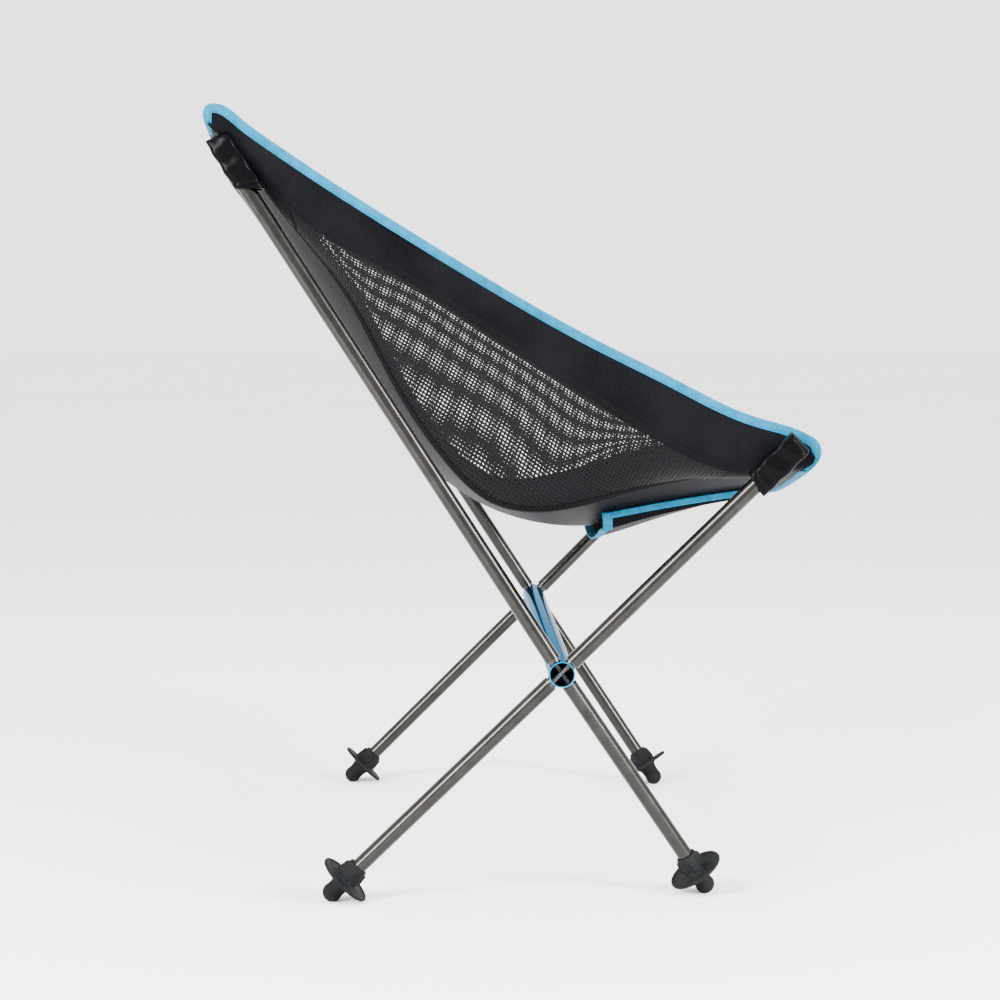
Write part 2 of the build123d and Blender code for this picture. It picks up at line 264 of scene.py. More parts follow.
def mouldedPlug():
    # injection-moulded nylon, matt black
    material, tree, surface = newMaterial("mouldedNylon", {"Roughness": 0.5})
    cloud = addNode(tree, "ShaderNodeTexNoise", {"Scale": 200.0, "Detail": 3.0},
                    {"Vector": objectCoords(tree)})
    colour = ramp(tree, cloud.outputs[0], [(0.3, "#09090a"), (0.7, "#101012")])
    tree.links.new(colour, surface.inputs["Base Color"])
    return material


poleMaterial, tubeMaterial, spigotMaterial = anodisedPole(), anodisedTube(), bareSpigot()
rubberMaterial, plugMaterial, cordMaterial = mouldedRubber(), mouldedPlug(), braidedCord()
panelMaterial = wovenCloth("blackWovenPolyester", panelLook)
seamMaterial = wovenCloth("blackSeamTape", pocketLook)
sleeveMaterial = wovenCloth("coatedPackCloth", sleeveClothLook)
tapeMaterial = ribbedTape("blueGrosgrainTape", "#004c66", "#006484")
blackTapeMaterial = ribbedTape("blackGrosgrainTape", "#060608", "#0d0e10")
netMaterial = netThread()
gussetMaterial = wovenCloth("blackGussetCloth", pocketLook)
blackThread, blueThread = sewingThread("blackThread", "#08080a"), sewingThread("blueThread", "#005078")
print("materials made")


# frame pieces that keep their CAD shape
def dress(name, material):
    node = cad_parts[name]
    node.data.materials.clear()
    node.data.materials.append(material)


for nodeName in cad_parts:
    if nodeName.startswith("cross_tube_ferrule"):
        dress(nodeName, spigotMaterial)
    elif nodeName.startswith("cross_tube"):
        dress(nodeName, tubeMaterial)
    elif "spigot" in nodeName or "ferrule" in nodeName:
        dress(nodeName, spigotMaterial)
    elif nodeName.startswith("shock_cord"):
        dress(nodeName, cordMaterial)
    elif "foot" in nodeName:
        dress(nodeName, rubberMaterial)
    elif "tip_plug" in nodeName:
        dress(nodeName, plugMaterial)
    elif "leg" in nodeName or "upright" in nodeName:
        dress(nodeName, poleMaterial)
print("frame dressed")


# the sling's net of lines
# Four lines run from the top hem to the front hem: the middle, the seam beside the middle panel, the
# seam under the side strip, and the bound edge. They are the lines that the frame's sling has.
hubY = -0.0385
slingPoints = dict(
    middle=[(0, 283, 597), (0, 249, 549), (0, 211, 494), (0, 168, 423), (0, 116, 352), (0, 44, 305),
            (0, -41, 291), (0, -85, 299), (0, -130, 309), (0, -203, 321)],
    panelSeam=[(236, 289, 640), (231, 256, 604), (219, 226, 565), (190, 182, 508), (165, 133, 417),
               (164, 93, 359), (170, 53, 324), (185, -8, 320), (198, -70, 337), (222, -137, 351),
               (272, -201, 356)],
    stripSeam=[(238, 291, 646), (235, 253, 611), (231, 214, 567), (229, 135, 519), (230, 54, 468),
               (236, -18, 422), (247, -80, 383), (260, -138, 358), (279, -210, 368)],
    edge=[(240, 288, 653), (240, 276, 653), (240, 259, 641), (240, 236, 624), (240, 214, 609),
          (243, 138, 560), (247, 58, 511), (253, -29, 462), (262, -93, 430), (272, -160, 399),
          (277, -188, 391), (281, -208, 381)])
sling = dict(deepShape=2.2, topHemPull=0.85, frontHemPull=1.1, hemFade=0.12, middleSoft=0.3, stripCurl=0.55,
             cornerShare=0.045, edgeRoomMm=3.0, cornerRoomMm=10.0, clothMm=0.7, meshStart=0.165,
             meshEnd=0.875)


def splineTable(points, count=1500):
    # a cubic spline through the points, timed by the distance between them, read out at even steps of length
    knots = np.array(points, float) * mm + [0, hubY, 0]
    time = np.concatenate([[0], np.cumsum(np.linalg.norm(np.diff(knots, axis=0), axis=1))])
    gap = np.diff(time)[:, None]
    slope = np.diff(knots, axis=0) / gap
    n = len(knots)
    system, right = np.zeros((n, n)), np.zeros((n, 3))
    for i in range(1, n - 1):
        system[i, i - 1:i + 2] = gap[i, 0], 2 * (gap[i, 0] + gap[i - 1, 0]), gap[i - 1, 0]
        right[i] = 3 * (gap[i, 0] * slope[i - 1] + gap[i - 1, 0] * slope[i])
    # each end leaves along the parabola through its first three points
    system[0, 0] = system[-1, -1] = 1
    right[0] = slope[0] - (slope[1] - slope[0]) * gap[0] / (gap[0] + gap[1])
    right[-1] = slope[-1] + (slope[-1] - slope[-2]) * gap[-1] / (gap[-1] + gap[-2])
    tangent = np.linalg.solve(system, right)
    at = np.linspace(0, time[-1], count)
    i = np.clip(np.searchsorted(time, at, "right") - 1, 0, n - 2)
    part = ((at - time[i]) / gap[i, 0])[:, None]
    width = gap[i]
    line = (knots[i] * (2 * part**3 - 3 * part**2 + 1) + knots[i + 1] * (3 * part**2 - 2 * part**3)
            + tangent[i] * width * (part**3 - 2 * part**2 + part)
            + tangent[i + 1] * width * (part**3 - part**2))
    length = np.concatenate([[0], np.cumsum(np.linalg.norm(np.diff(line, axis=0), axis=1))])
    even = np.linspace(0, length[-1], count)
    return np.stack([np.interp(even, length, line[:, k]) for k in range(3)], 1), length[-1]


slingTables = {name: splineTable(points) for name, points in slingPoints.items()}


def onLine(name, share):
    table = slingTables[name][0]
    place = np.clip(share, 0, 1) * (len(table) - 1)
    return np.stack([np.interp(place, np.arange(len(table)), table[:, k]) for k in range(3)], -1)


def lineShape(share):
    # the power by which the middle panel rises to its seams: deep in the seat, straighter near the two hems
    fade = sling["hemFade"]
    return (sling["deepShape"] - sling["topHemPull"] * np.exp(-((share / fade) ** 2))
            - sling["frontHemPull"] * np.exp(-(((1 - share) / fade) ** 2)))


def roundedPower(a, power):
    # a to the power, with its start rounded so that the cloth has no crease down the middle
    soft = sling["middleSoft"] ** 2
    low, high = soft ** (power / 2), (1 + soft) ** (power / 2)
    return ((a**2 + soft) ** (power / 2) - low) / (high - low)


def slingPoint(share, across, side=1):
    # across runs 0 at the middle, 1 and 2 at the seams, 3 at the edge; the middle panel rises as a power
    # of across, then one parabola runs through the three lines beside it, straightened past the second seam
    share, across = np.broadcast_arrays(np.asarray(share, float), np.abs(np.asarray(across, float)))
    middle, panel = onLine("middle", share), onLine("panelSeam", share)
    strip, edge = onLine("stripSeam", share), onLine("edge", share)
    a = across[..., None]
    low = middle + (panel - middle) * roundedPower(np.clip(a, 0, 1), lineShape(share)[..., None])
    low[..., 0] = panel[..., 0] * across
    bend = (edge - strip) - (strip - panel)
    inner = panel + (strip - panel) * (a - 1) - bend * (a - 1) * (2 - a) / 2
    outer = strip + (edge - strip) * (a - 2) - bend * (a - 2) * (3 - a) / 2 * sling["stripCurl"]
    out = np.where(a < 1, low, np.where(a < 2, inner, outer))
    out[..., 0] *= side
    return out


def acrossAt(share, width):
    # the number across that lies a width of cloth inside the bound edge, found by halving
    share, width = np.broadcast_arrays(np.asarray(share, float), np.asarray(width, float))
    low, high = np.zeros(share.shape), np.full(share.shape, 3.0)
    edge = slingPoint(share, 3.0)
    for _ in range(24):
        middle = (low + high) / 2
        near = np.linalg.norm(slingPoint(share, middle) - edge, axis=-1) < width
        high, low = np.where(near, middle, high), np.where(near, low, middle)
    return low


# mesh helpers
def gridFaces(rows, columns, wrapRows=False, wrapColumns=False):
    # quads over a grid of points, rows first, closed round where asked
    i = np.arange(rows if wrapRows else rows - 1)[:, None]
    j = np.arange(columns if wrapColumns else columns - 1)[None, :]
    nextI, nextJ = (i + 1) % rows, (j + 1) % columns
    corners = [i * columns + j, nextI * columns + j, nextI * columns + nextJ, i * columns + nextJ]
    return np.stack(corners, -1).reshape(-1, 4)


def addPiece(name, points, faces, material, body, uv=None, smooth=True):
    mesh = bpy.data.meshes.new(name)
    points = np.asarray(points, float).reshape(-1, 3)
    mesh.from_pydata(points.tolist(), [], [list(map(int, face)) for face in faces])
    if uv is not None:
        layer = mesh.uv_layers.new(name="cloth")
        loops = np.zeros(len(mesh.loops), np.int32)
        mesh.loops.foreach_get("vertex_index", loops)
        layer.data.foreach_set("uv", np.asarray(uv, float).reshape(-1, 2)[loops].ravel())
    mesh.polygons.foreach_set("use_smooth", np.full(len(mesh.polygons), smooth))
    mesh.update()
    piece = bpy.data.objects.new(name, mesh)
    bpy.context.scene.collection.objects.link(piece)
    mesh.materials.append(material)
    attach(piece, body)
    return piece


def thicken(piece, thickness, offset=0.0):
    wall = piece.modifiers.new("wall", "SOLIDIFY")
    wall.thickness, wall.offset = thickness, offset
    wall.use_even_offset = False
    return piece


def clothUv(points):
    # metres along and across the cloth, measured on the grid itself
    along = np.concatenate([np.zeros((1, points.shape[1])),
                            np.cumsum(np.linalg.norm(np.diff(points, axis=0), axis=2), axis=0)])
    wide = np.concatenate([np.zeros((points.shape[0], 1)),
                           np.cumsum(np.linalg.norm(np.diff(points, axis=1), axis=2), axis=1)], 1)
    along = np.broadcast_to(along.mean(1)[:, None], wide.shape)
    return np.stack([along, wide - wide[:, wide.shape[1] // 2][:, None]], -1)


def gridNormals(points):
    # rows crossed with columns, which points up to the sitter on the left half and the middle
    normal = np.cross(np.gradient(points, axis=0), np.gradient(points, axis=1))
    return normal / np.maximum(np.linalg.norm(normal, axis=-1, keepdims=True), 1e-12)


def clothSheet(name, points, material, thickness, replaced):
    # a sheet through a grid of points; its faces look up and forward, to the sitter
    rows, columns = points.shape[:2]
    piece = addPiece(name, points, gridFaces(rows, columns), material, "sling", clothUv(points))
    thicken(piece, thickness)
    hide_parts(*replaced)
    return piece


# middle panel
middleLook = dict(rows=150, columns=110, foldMm=1.1, rippleMm=0.5)


def tensionFolds(share, across):
    # shallow folds that fan out from each corner and die away towards the middle
    reach = np.minimum(share, 1 - share)
    near = np.exp(-(reach / 0.16) ** 2) * np.abs(across) ** 3
    fan = np.sin(26 * np.abs(across) + 9 * share)
    return near * fan * (1 - np.abs(across) ** 12)


def edgeRoom(share):
    # metres that the cloth stays inside the bound edge: more at the corners, which the tape rounds off
    near = np.clip(1 - np.minimum(share, 1 - share) / sling["cornerShare"], 0, 1)
    return (sling["edgeRoomMm"] + sling["cornerRoomMm"] * near**2) * mm


def middlePanel():
    share = np.linspace(0.005, 0.995, middleLook["rows"])[:, None]
    across = np.linspace(-1, 1, middleLook["columns"])[None, :] * np.ones_like(share)
    limit = np.minimum(1.0, acrossAt(share, edgeRoom(share)))
    across = across * limit
    points = slingPoint(share, across)
    points[..., 0] *= np.sign(across) * np.sign(np.maximum(points[..., 0], 1e-9))
    lift = tensionFolds(share, across) * middleLook["foldMm"] * mm
    ripple = np.sin(7 * across + 3 * share) * np.sin(math.pi * share)
    lift = lift + ripple * middleLook["rippleMm"] * mm * (1 - across**2)
    points = points + gridNormals(points) * lift[..., None]
    piece = clothSheet("middlePanel", points, panelMaterial, sling["clothMm"] * mm,
                       ["middle_panel"])
    return piece


middlePanel()
print("middle panel made")


# side strips and corner patches
stripLook = dict(rows=110, columns=14, patchRows=40)


def sidePanels(side, word):
    shares = np.linspace(sling["meshStart"], sling["meshEnd"], stripLook["rows"])[:, None]
    top = acrossAt(shares, 3 * mm)
    spread = np.linspace(0, 1, stripLook["columns"])[None, :]
    points = slingPoint(shares, 2 + (top - 2) * spread, side)
    piece = clothSheet("sideStrip_" + word, points, panelMaterial, sling["clothMm"] * mm,
                       ["side_strip_" + word])
    for name, start, end in (("rearCornerPatch_", 0.012, sling["meshStart"]),
                             ("frontCornerPatch_", sling["meshEnd"], 0.99)):
        shares = np.linspace(start, end, stripLook["patchRows"])[:, None]
        top = np.maximum(acrossAt(shares, edgeRoom(shares)), 1.02)
        points = slingPoint(shares, 1 + (top - 1) * spread, side)
        node = "rear_corner_patch_" if name.startswith("rear") else "front_corner_patch_"
        piece = clothSheet(name + word, points, panelMaterial, sling["clothMm"] * mm,
                           [node + word])


for side, word in ((1, "left"), (-1, "right")):
    sidePanels(side, word)
print("side strips made")


# netting
netLook = dict(mergeMm=0.05, pitchMm=3.4, holeMm=2.2, yarnMm=0.45, corners=8)


def netMesh(name, place, inside, lengthM, widthM, material, replaced):
    # place maps metres along and down the cut to points; each cell is a ring between its square
    # outline and a rounded hole, and cells outside the cut are left out
    pitch = netLook["pitchMm"] * mm
    rows, columns = int(lengthM / pitch), int(widthM / pitch)
    i, j = np.meshgrid(np.arange(rows), np.arange(columns), indexing="ij")
    centre = (np.stack([i, j], -1) + 0.5) * pitch
    keep = inside(centre[..., 0], centre[..., 1])
    centre = centre[keep]
    count = netLook["corners"]
    angle = (np.arange(count) / count) * 2 * math.pi + math.pi / 4
    square = np.stack([np.cos(angle), np.sin(angle)], -1)
    square = square / np.abs(square).max(1, keepdims=True) * pitch / 2
    # holes are lens-shaped and lean the other way in every second row, as knitting leaves them
    turn = np.where(i[keep] % 2 == 0, 0.35, -0.35)
    hole = netLook["holeMm"] * mm / 2
    ring = np.stack([np.cos(angle) * hole * 1.12, np.sin(angle) * hole * 0.9], -1)
    cos, sin = np.cos(turn)[:, None], np.sin(turn)[:, None]
    leaning = np.stack([ring[:, 0] * cos - ring[:, 1] * sin, ring[:, 0] * sin + ring[:, 1] * cos], -1)
    outer = centre[:, None, :] + square[None]
    inner = centre[:, None, :] + leaning
    flat = np.concatenate([outer, inner], 1)
    points = place(flat[..., 0], flat[..., 1])
    base = (np.arange(len(centre)) * 2 * count)[:, None]
    k = np.arange(count)[None, :]
    nextK = (k + 1) % count
    faces = np.stack([base + k, base + nextK, base + count + nextK, base + count + k], -1).reshape(-1, 4)
    # cells share their outlines, so equal points are merged
    flatPoints = points.reshape(-1, 3)
    rounded = np.round(flatPoints / (netLook["mergeMm"] * mm)).astype(np.int64)
    _, first, back = np.unique(rounded, axis=0, return_index=True, return_inverse=True)
    piece = addPiece(name, flatPoints[first], back.reshape(-1)[faces], material, "sling")
    thicken(piece, netLook["yarnMm"] * mm)
    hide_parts(*replaced)
    return piece


def sideNet(side, word):
    length = slingTables["stripSeam"][1]
    start = sling["meshStart"] * length
    span = (sling["meshEnd"] - sling["meshStart"]) * length
    shares = np.linspace(0, 1, 400)
    widths = np.linalg.norm(slingPoint(shares, 2.0) - slingPoint(shares, 1.0), axis=-1) * 1.02

    def place(along, down):
        share = (along + start) / length
        width = np.interp(share, shares, widths)
        return slingPoint(share, 2 - down / np.maximum(width, 1e-6), side)

    def inside(along, down):
        share = (along + start) / length
        width = np.interp(share, shares, widths) + 0.3 * netLook["pitchMm"] * mm
        return (down < width) & (share < sling["meshEnd"])

    piece = netMesh("sideNet_" + word, place, inside, span, widths.max(), netMaterial,
                    ["mesh_panel_" + word])


for side, word in ((1, "left"), (-1, "right")):
    sideNet(side, word)
print("side nets made")


# tape bound over the sling's edges
tapeLook = dict(widthMm=7.7, halfMm=0.95, edgeMm=0.65, cornerMm=5.0, stitchInMm=6.4, stepMm=2.0, lapMm=14.0,
                chordShare=0.013)


def smoothLoop(values, stepM, reachM):
    # a closed run of values blurred by a bell curve of that reach
    count = len(values)
    offset = np.minimum(np.arange(count), count - np.arange(count)) * stepM
    bell = np.exp(-0.5 * (offset / reachM) ** 2)
    return np.real(np.fft.ifft(np.fft.fft(values, axis=0) * np.fft.fft(bell / bell.sum())[:, None], axis=0))


def resample(values, length, at):
    return np.stack([np.interp(at, length, values[:, k]) for k in range(values.shape[1])], 1)


def lengths(points):
    return np.concatenate([[0], np.cumsum(np.linalg.norm(np.diff(points, axis=0), axis=1))])


def slingFrame(share, across, side):
    # place and upward normal on the sling; side is 1 on the left and -1 on the right
    inside = np.clip(share, 0.004, 0.996)
    low, high = np.maximum(across - 0.03, 0), np.minimum(across + 0.03, 3)
    lengthways = slingPoint(inside + 0.003, across) - slingPoint(inside - 0.003, across)
    crossways = slingPoint(inside, high) - slingPoint(inside, low)
    normal = np.cross(lengthways, crossways)
    normal = normal / np.linalg.norm(normal, axis=-1, keepdims=True)
    flip = np.ones(normal.shape)
    flip[..., 0] = side
    return slingPoint(share, across) * flip, normal * flip


def pathFrame(point, normal):
    # unit tangent, normal and inward direction along a path
    tangent = np.gradient(point, axis=0)
    tangent = tangent / np.linalg.norm(tangent, axis=1, keepdims=True)
    inward = np.cross(tangent, normal)
    inward = inward / np.linalg.norm(inward, axis=1, keepdims=True)
    return dict(point=point, tangent=tangent, inward=inward, normal=np.cross(inward, tangent))


def outline():
    # once round the sling: down the left edge, along the front hem, up the right edge, back along the top
    # hem, with every corner rounded by the blur; inward is the chord to the cloth a tape's width inside
    down, corner, hem = np.linspace(0, 1, 700), np.linspace(3, 1, 30)[1:-1], np.linspace(1, 0, 200)
    hemAcross = np.concatenate([corner, hem, hem[::-1][1:], corner[::-1]])
    hemSide = np.where(np.arange(len(hemAcross)) < len(corner) + len(hem), 1, -1)
    share = np.concatenate([down, np.ones_like(hemAcross), down[::-1], np.zeros_like(hemAcross)])
    across = np.concatenate([np.full_like(down, 3), hemAcross, np.full_like(down, 3), hemAcross])
    side = np.concatenate([np.ones_like(down), hemSide, -np.ones_like(down), -hemSide])
    flip = np.stack([side, np.ones_like(side), np.ones_like(side)], 1)
    point = slingPoint(share, across) * flip
    inShare = np.clip(share, tapeLook["chordShare"], 1 - tapeLook["chordShare"])
    inner = slingPoint(inShare, np.minimum(across, acrossAt(inShare, tapeLook["widthMm"] * mm))) * flip
    point, inner = np.concatenate([point, point[:1]]), np.concatenate([inner, inner[:1]])
    length = lengths(point)
    count = int(length[-1] / (tapeLook["stepMm"] * mm))
    even = np.arange(count) * length[-1] / count
    step, reach = length[-1] / count, tapeLook["cornerMm"] * mm
    point = smoothLoop(resample(point, length, even), step, reach)
    inner = smoothLoop(resample(inner, length, even), step, reach)
    tangent = np.roll(point, -1, 0) - np.roll(point, 1, 0)
    tangent = tangent / np.linalg.norm(tangent, axis=1, keepdims=True)
    chord = inner - point
    inward = chord - tangent * (chord * tangent).sum(1, keepdims=True)
    inward = smoothLoop(inward / np.linalg.norm(inward, axis=1, keepdims=True), step, reach)
    inward = inward / np.linalg.norm(inward, axis=1, keepdims=True)
    return dict(point=point, tangent=tangent, inward=inward, normal=np.cross(inward, tangent))


def cut(path, start, end):
    # part of a closed path, by position in it; start may be negative
    take = np.arange(start, end) % len(path["point"])
    return {key: value[take] for key, value in path.items()}


def carried(name, path, profile, material, replaced=(), endSteps=0):
    # a closed profile of (inward, up) carried along a path and closed at both ends; endSteps thins the ends
    point, count = path["point"], len(profile)
    shape = np.repeat(np.asarray(profile, float)[None], len(point), 0)
    if endSteps:
        step = np.arange(len(point))
        shape[..., 1] *= np.clip(np.minimum(step, len(point) - 1 - step) / endSteps, 0.3, 1)[:, None]
    grid = (point[:, None] + path["inward"][:, None] * shape[..., :1]
            + path["normal"][:, None] * shape[..., 1:])
    faces = gridFaces(len(point), count, wrapColumns=True).tolist()
    faces.append(list(range(count)))
    faces.append(list(range((len(point) - 1) * count, len(point) * count))[::-1])
    uv = np.stack(np.broadcast_arrays(lengths(point)[:, None], lengths(np.asarray(profile))[None, :]), -1)
    piece = addPiece(name, grid, faces, material, "sling", uv)
    if replaced:
        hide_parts(*replaced)
    return piece


def tapeProfile(widthMm, scale=1.0):
    # a tape folded over an edge: round at the fold, pinched where it is sewn, thin at its cut edges
    across = np.linspace(1, 0.1, 16)
    inward = across * widthMm
    pinch = 0.3 * np.exp(-(((inward - tapeLook["stitchInMm"]) / 0.7) ** 2))
    half = (tapeLook["halfMm"] - (tapeLook["halfMm"] - tapeLook["edgeMm"]) * across**6 - pinch) * scale
    turn = np.linspace(math.pi / 2, -math.pi / 2, 9)[1:-1]
    fold = np.stack([inward[-1] * (1 - np.cos(turn)), np.sin(turn) * half[-1]], 1)
    return np.concatenate([np.stack([inward, half], 1), fold, np.stack([inward, -half], 1)[::-1]]) * mm


def bandProfile(widthMm, halfMm, beadMm=0.0):
    # a flat seam band through the cloth, with a row of stitching near each edge and a piped bead between
    inward = np.linspace(0.5, -0.5, 21) * widthMm
    pinch = 0.2 * np.exp(-(((np.abs(inward) - 0.32 * widthMm) / 0.5) ** 2))
    bead = beadMm * np.exp(-((inward / 0.9) ** 2))
    half = halfMm * (1 - 0.45 * np.abs(2 * inward / widthMm) ** 6) - pinch + bead
    top, bottom = np.stack([inward, half], 1), np.stack([inward, -half], 1)[::-1]
    return np.concatenate([top, bottom]) * mm


def stitches(name, path, rows, material, pitchMm=3.0, lengthMm=2.2, radiusMm=0.26):
    # rows are (inward, up) in metres; every stitch is a short bar of thread whose ends dip into the cloth
    length = lengths(path["point"])
    at = (np.arange(int(length[-1] / (pitchMm * mm)) - 1) + 1) * pitchMm * mm
    frames = {key: resample(value, length, at) for key, value in path.items()}
    turn = np.arange(5) / 5 * 2 * math.pi
    station = np.array([-0.5, -0.3, 0.3, 0.5]) * lengthMm * mm
    radius = np.array([0.3, 1, 1, 0.3]) * radiusMm * mm
    sink = np.array([-0.8, 0, 0, -0.8]) * radiusMm * mm
    points = []
    for inward, up in rows:
        sign = math.copysign(1, up)
        centre = frames["point"] + frames["inward"] * inward + frames["normal"] * up
        sideways = (radius[:, None] * np.cos(turn) * sign)[None, :, :, None]
        outward = ((sink[:, None] + radius[:, None] * np.sin(turn)) * sign)[None, :, :, None]
        points.append(centre[:, None, None] + frames["tangent"][:, None, None] * station[None, :, None, None]
                      + frames["inward"][:, None, None] * sideways
                      + frames["normal"][:, None, None] * outward)
    points = np.concatenate(points)
    base = np.arange(len(points)) * 20
    faces = (base[:, None, None] + gridFaces(4, 5, wrapColumns=True)[None]).reshape(-1, 4).tolist()
    for cap in ([0, 1, 2, 3, 4], [19, 18, 17, 16, 15]):
        faces += (base[:, None] + np.array(cap)[None]).tolist()
    return addPiece(name, points, faces, material, "sling")


def bindEdges():
    path = outline()
    point, count = path["point"], len(path["point"])
    place = np.arange(count)
    wide, reach, height = np.abs(point[:, 0]), point[:, 1] - hubY, point[:, 2]
    front = place[(wide < 0.25) & (reach < -0.15) & (np.abs(place - count / 2) < count / 2.2)]
    top = place[(wide < 0.222) & (height > 0.585) & (reach > 0.25)]
    front, top = (front.min(), front.max()), (top.min(), top.max())
    lap = int(tapeLook["lapMm"] / tapeLook["stepMm"])
    runs = [("frontHemBinding", front[0], front[1], "front_hem_binding", 1.0, tapeMaterial, blueThread),
            ("topHemBinding", top[0], top[1], "top_hem_binding", 1.0, blackTapeMaterial, blackThread),
            ("sideBinding_left", top[1] - lap - count, front[0] + lap, "side_binding_left", 1.18,
             tapeMaterial, blueThread),
            ("sideBinding_right", front[1] - lap, top[0] + lap, "side_binding_right", 1.18,
             tapeMaterial, blueThread)]
    sewn = tapeLook["stitchInMm"] * mm
    for name, start, end, node, scale, material, thread in runs:
        part = cut(path, start, end)
        carried(name, part, tapeProfile(tapeLook["widthMm"], scale), material, [node])
        lift = 0.68 * mm * scale
        stitches(name + "Stitches", part, [(sewn, lift), (sewn, -lift)], thread)


bindEdges()
print("edges bound")


# seams and corner reinforcements
seamLook = dict(pipedMm=7.0, pipedHalfMm=0.75, beadMm=0.75, felledMm=8.0, felledHalfMm=0.7, steps=320)


def sideSeam(across, start, end, side, steps):
    # a path along the sling at one number across, turned so that inward is towards the middle
    share = np.linspace(start, end, steps)[::side]
    point, normal = slingFrame(share, np.full(steps, float(across)), side)
    return pathFrame(point, normal)


def crossSeam(share, start, end, side, steps):
    across = np.linspace(start, end, steps)[::side]
    point, normal = slingFrame(np.full(steps, float(share)), across, side)
    return pathFrame(point, normal)


def seams(side, word):
    band = bandProfile(seamLook["pipedMm"], seamLook["pipedHalfMm"], seamLook["beadMm"])
    felled = bandProfile(seamLook["felledMm"], seamLook["felledHalfMm"])
    runs = [("panelSeam_", sideSeam(1, 0.02, 0.985, side, seamLook["steps"]), band, seamLook["pipedMm"]),
            ("stripSeam_", sideSeam(2, sling["meshStart"], sling["meshEnd"], side, seamLook["steps"]), felled,
             seamLook["felledMm"]),
            ("rearPatchSeam_", crossSeam(sling["meshStart"], 1, 2.85, side, 40), felled,
             seamLook["felledMm"]),
            ("frontPatchSeam_", crossSeam(sling["meshEnd"], 1, 2.85, side, 60), felled, seamLook["felledMm"])]
    for name, path, profile, width in runs:
        carried(name + word, path, profile, seamMaterial, endSteps=3)
        row = 0.32 * width * mm
        lift = 0.58 * mm
        stitches(name + word + "Stitches", path, [(row, lift), (-row, lift), (row, -lift), (-row, -lift)],
                 blackThread, pitchMm=2.8, lengthMm=2.0)


for side, word in ((1, "left"), (-1, "right")):
    seams(side, word)
print("seams sewn")


# sleeves that hold the poles' tips
poleTips = dict(front=(0.291, hubY - 0.1866, 0.3769), rear=(0.238, hubY + 0.2775, 0.6194))
hubPoint = (0.2712, hubY, 0.1916)
sleeveLook = dict(
    front=dict(beforeTipMm=44.3, pastTipMm=6.6, mouthTallMm=11.2, endTallMm=10.6, mouthSlant=0.2,
               endSlant=0.0, shiftMm=0.0),
    rear=dict(beforeTipMm=44.3, pastTipMm=7.6, mouthTallMm=10.6, endTallMm=9.6, mouthSlant=0.6,
              endSlant=0.15, shiftMm=-2.2),
    wallMm=1.0, rings=72, creaseMm=0.7, hemMm=6.2, lean=0.4)


def sleeveRings(look):
    # distance from the mouth, half width, half height and squareness of each ring, out and then back inside
    far = look["beforeTipMm"] + look["pastTipMm"]
    z = np.array([0, 0.8, 2, 5, sleeveLook["hemMm"], 7.4, 12, 22, far - 12, far - 7, far - 4.2, far - 2,
                  far - 0.6, far])
    a = np.array([7.9, 8.3, 8.5, 8.5, 8.1, 8.5, 8.7, 8.8, 8.6, 8.4, 8.0, 6.6, 4.2, 1.8])
    b = np.array([-0.7, -0.2, 0, 0, -0.4, 0, 0.2, 0.2, 0.2, 0.1, 0, -0.1, -0.3, -0.8])
    p = np.array([2.8, 3.0, 3.2, 3.4, 3.4, 3.6, 4.2, 5.0, 5.5, 5.5, 5, 5, 5, 4.0])
    fine = np.unique(np.concatenate([np.linspace(0, far, sleeveLook["rings"]), z]))
    tall = np.interp(fine, [0, far], [look["mouthTallMm"], look["endTallMm"]]) + np.interp(fine, z, b)
    outer = np.stack([fine, np.interp(fine, z, a), tall, np.interp(fine, z, p)], 1)
    wall = sleeveLook["wallMm"]
    inner = outer[fine < far - 2.6][::-1] - [0, wall, wall, 0]
    return outer, inner


